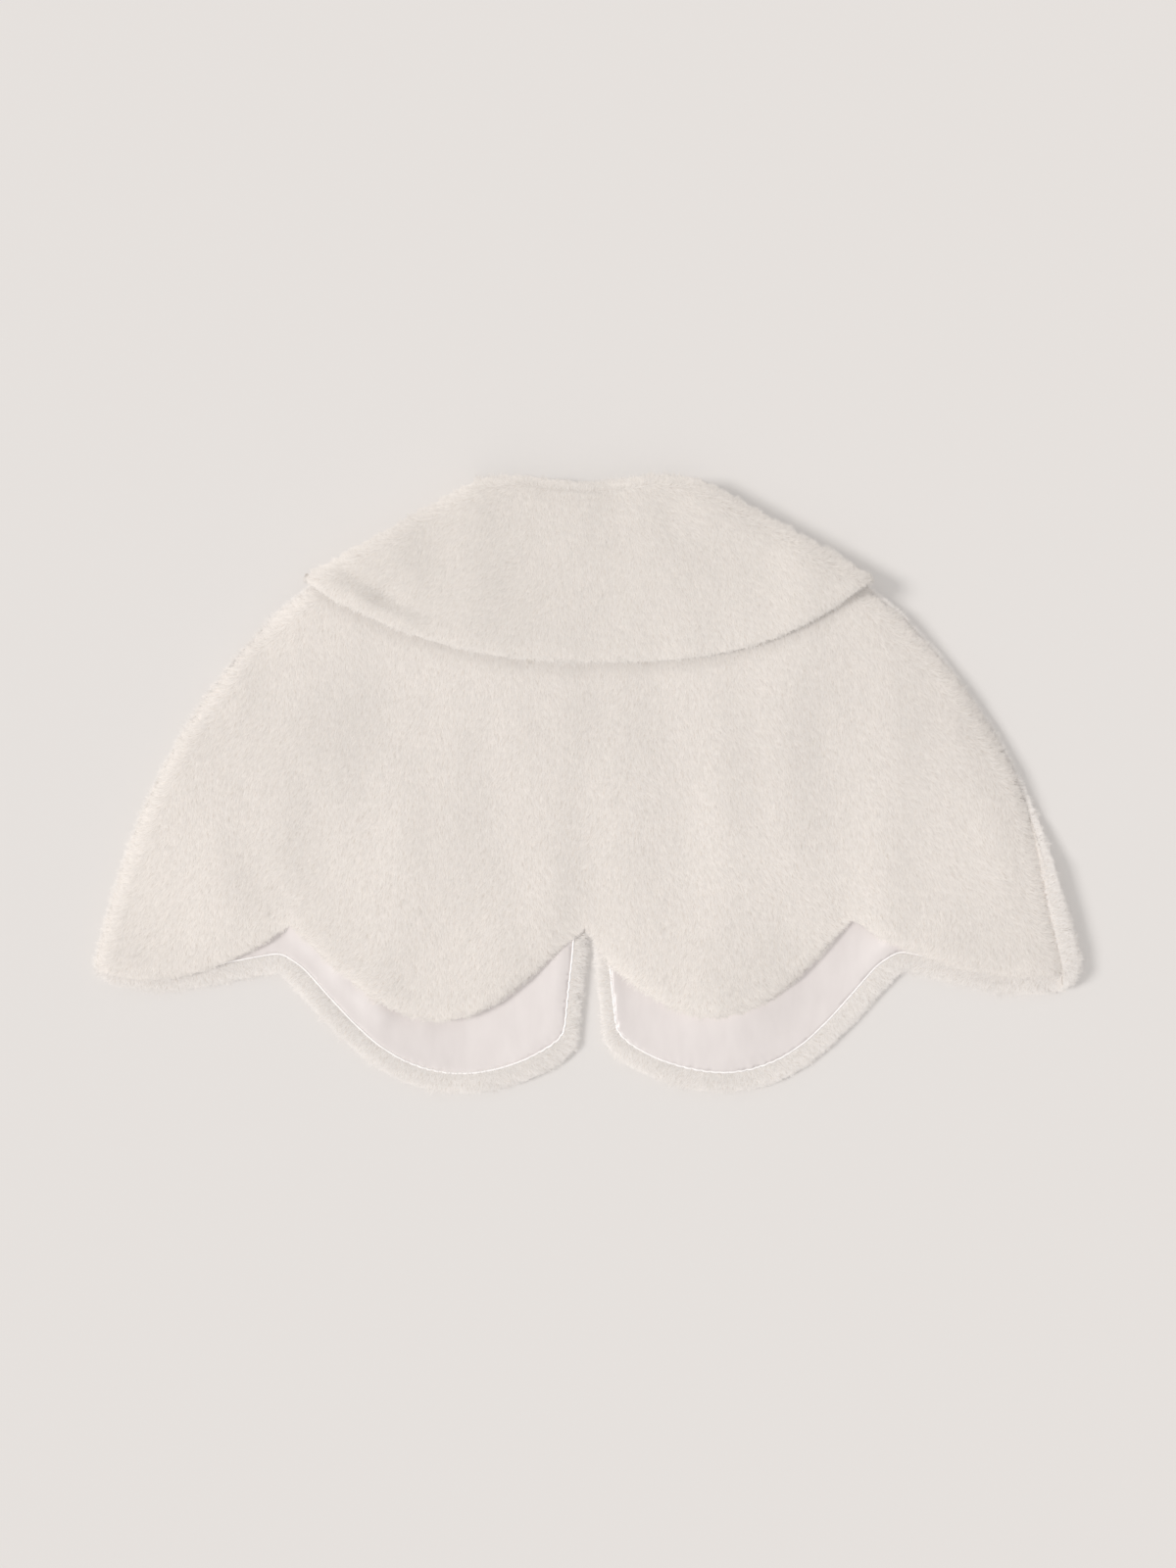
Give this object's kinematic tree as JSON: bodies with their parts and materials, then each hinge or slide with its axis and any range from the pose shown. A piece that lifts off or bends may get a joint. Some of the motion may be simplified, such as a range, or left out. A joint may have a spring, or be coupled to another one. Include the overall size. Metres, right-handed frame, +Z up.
{
  "type": "cape",
  "caption": "Child's short cape of cream faux fur, wide turned-down round collar and scalloped hem, lying flat with its back up; satin-lined fronts show below the back hem",
  "frame": {"origin": "middle of the outline, on the surface that the cape lies on", "axes": "+X to the wearer's right, which is the right of the picture; +Y from the hem to the neck; +Z up from the surface"},
  "size_m": [0.656, 0.4098, 0.0309],
  "materials": {
    "back_fur": "cream short-pile faux fur, nap towards the hem",
    "front_fur": "cream short-pile faux fur, edges turned in",
    "collar_fur": "cream short-pile faux fur",
    "satin": "ivory satin with a soft sheen"
  },
  "bodies": {
    "root": {"back": "back_fur", "front_left": "front_fur", "front_right": "front_fur", "lining_left": "satin", "lining_right": "satin", "collar": "collar_fur"}
  },
  "joints": []
}
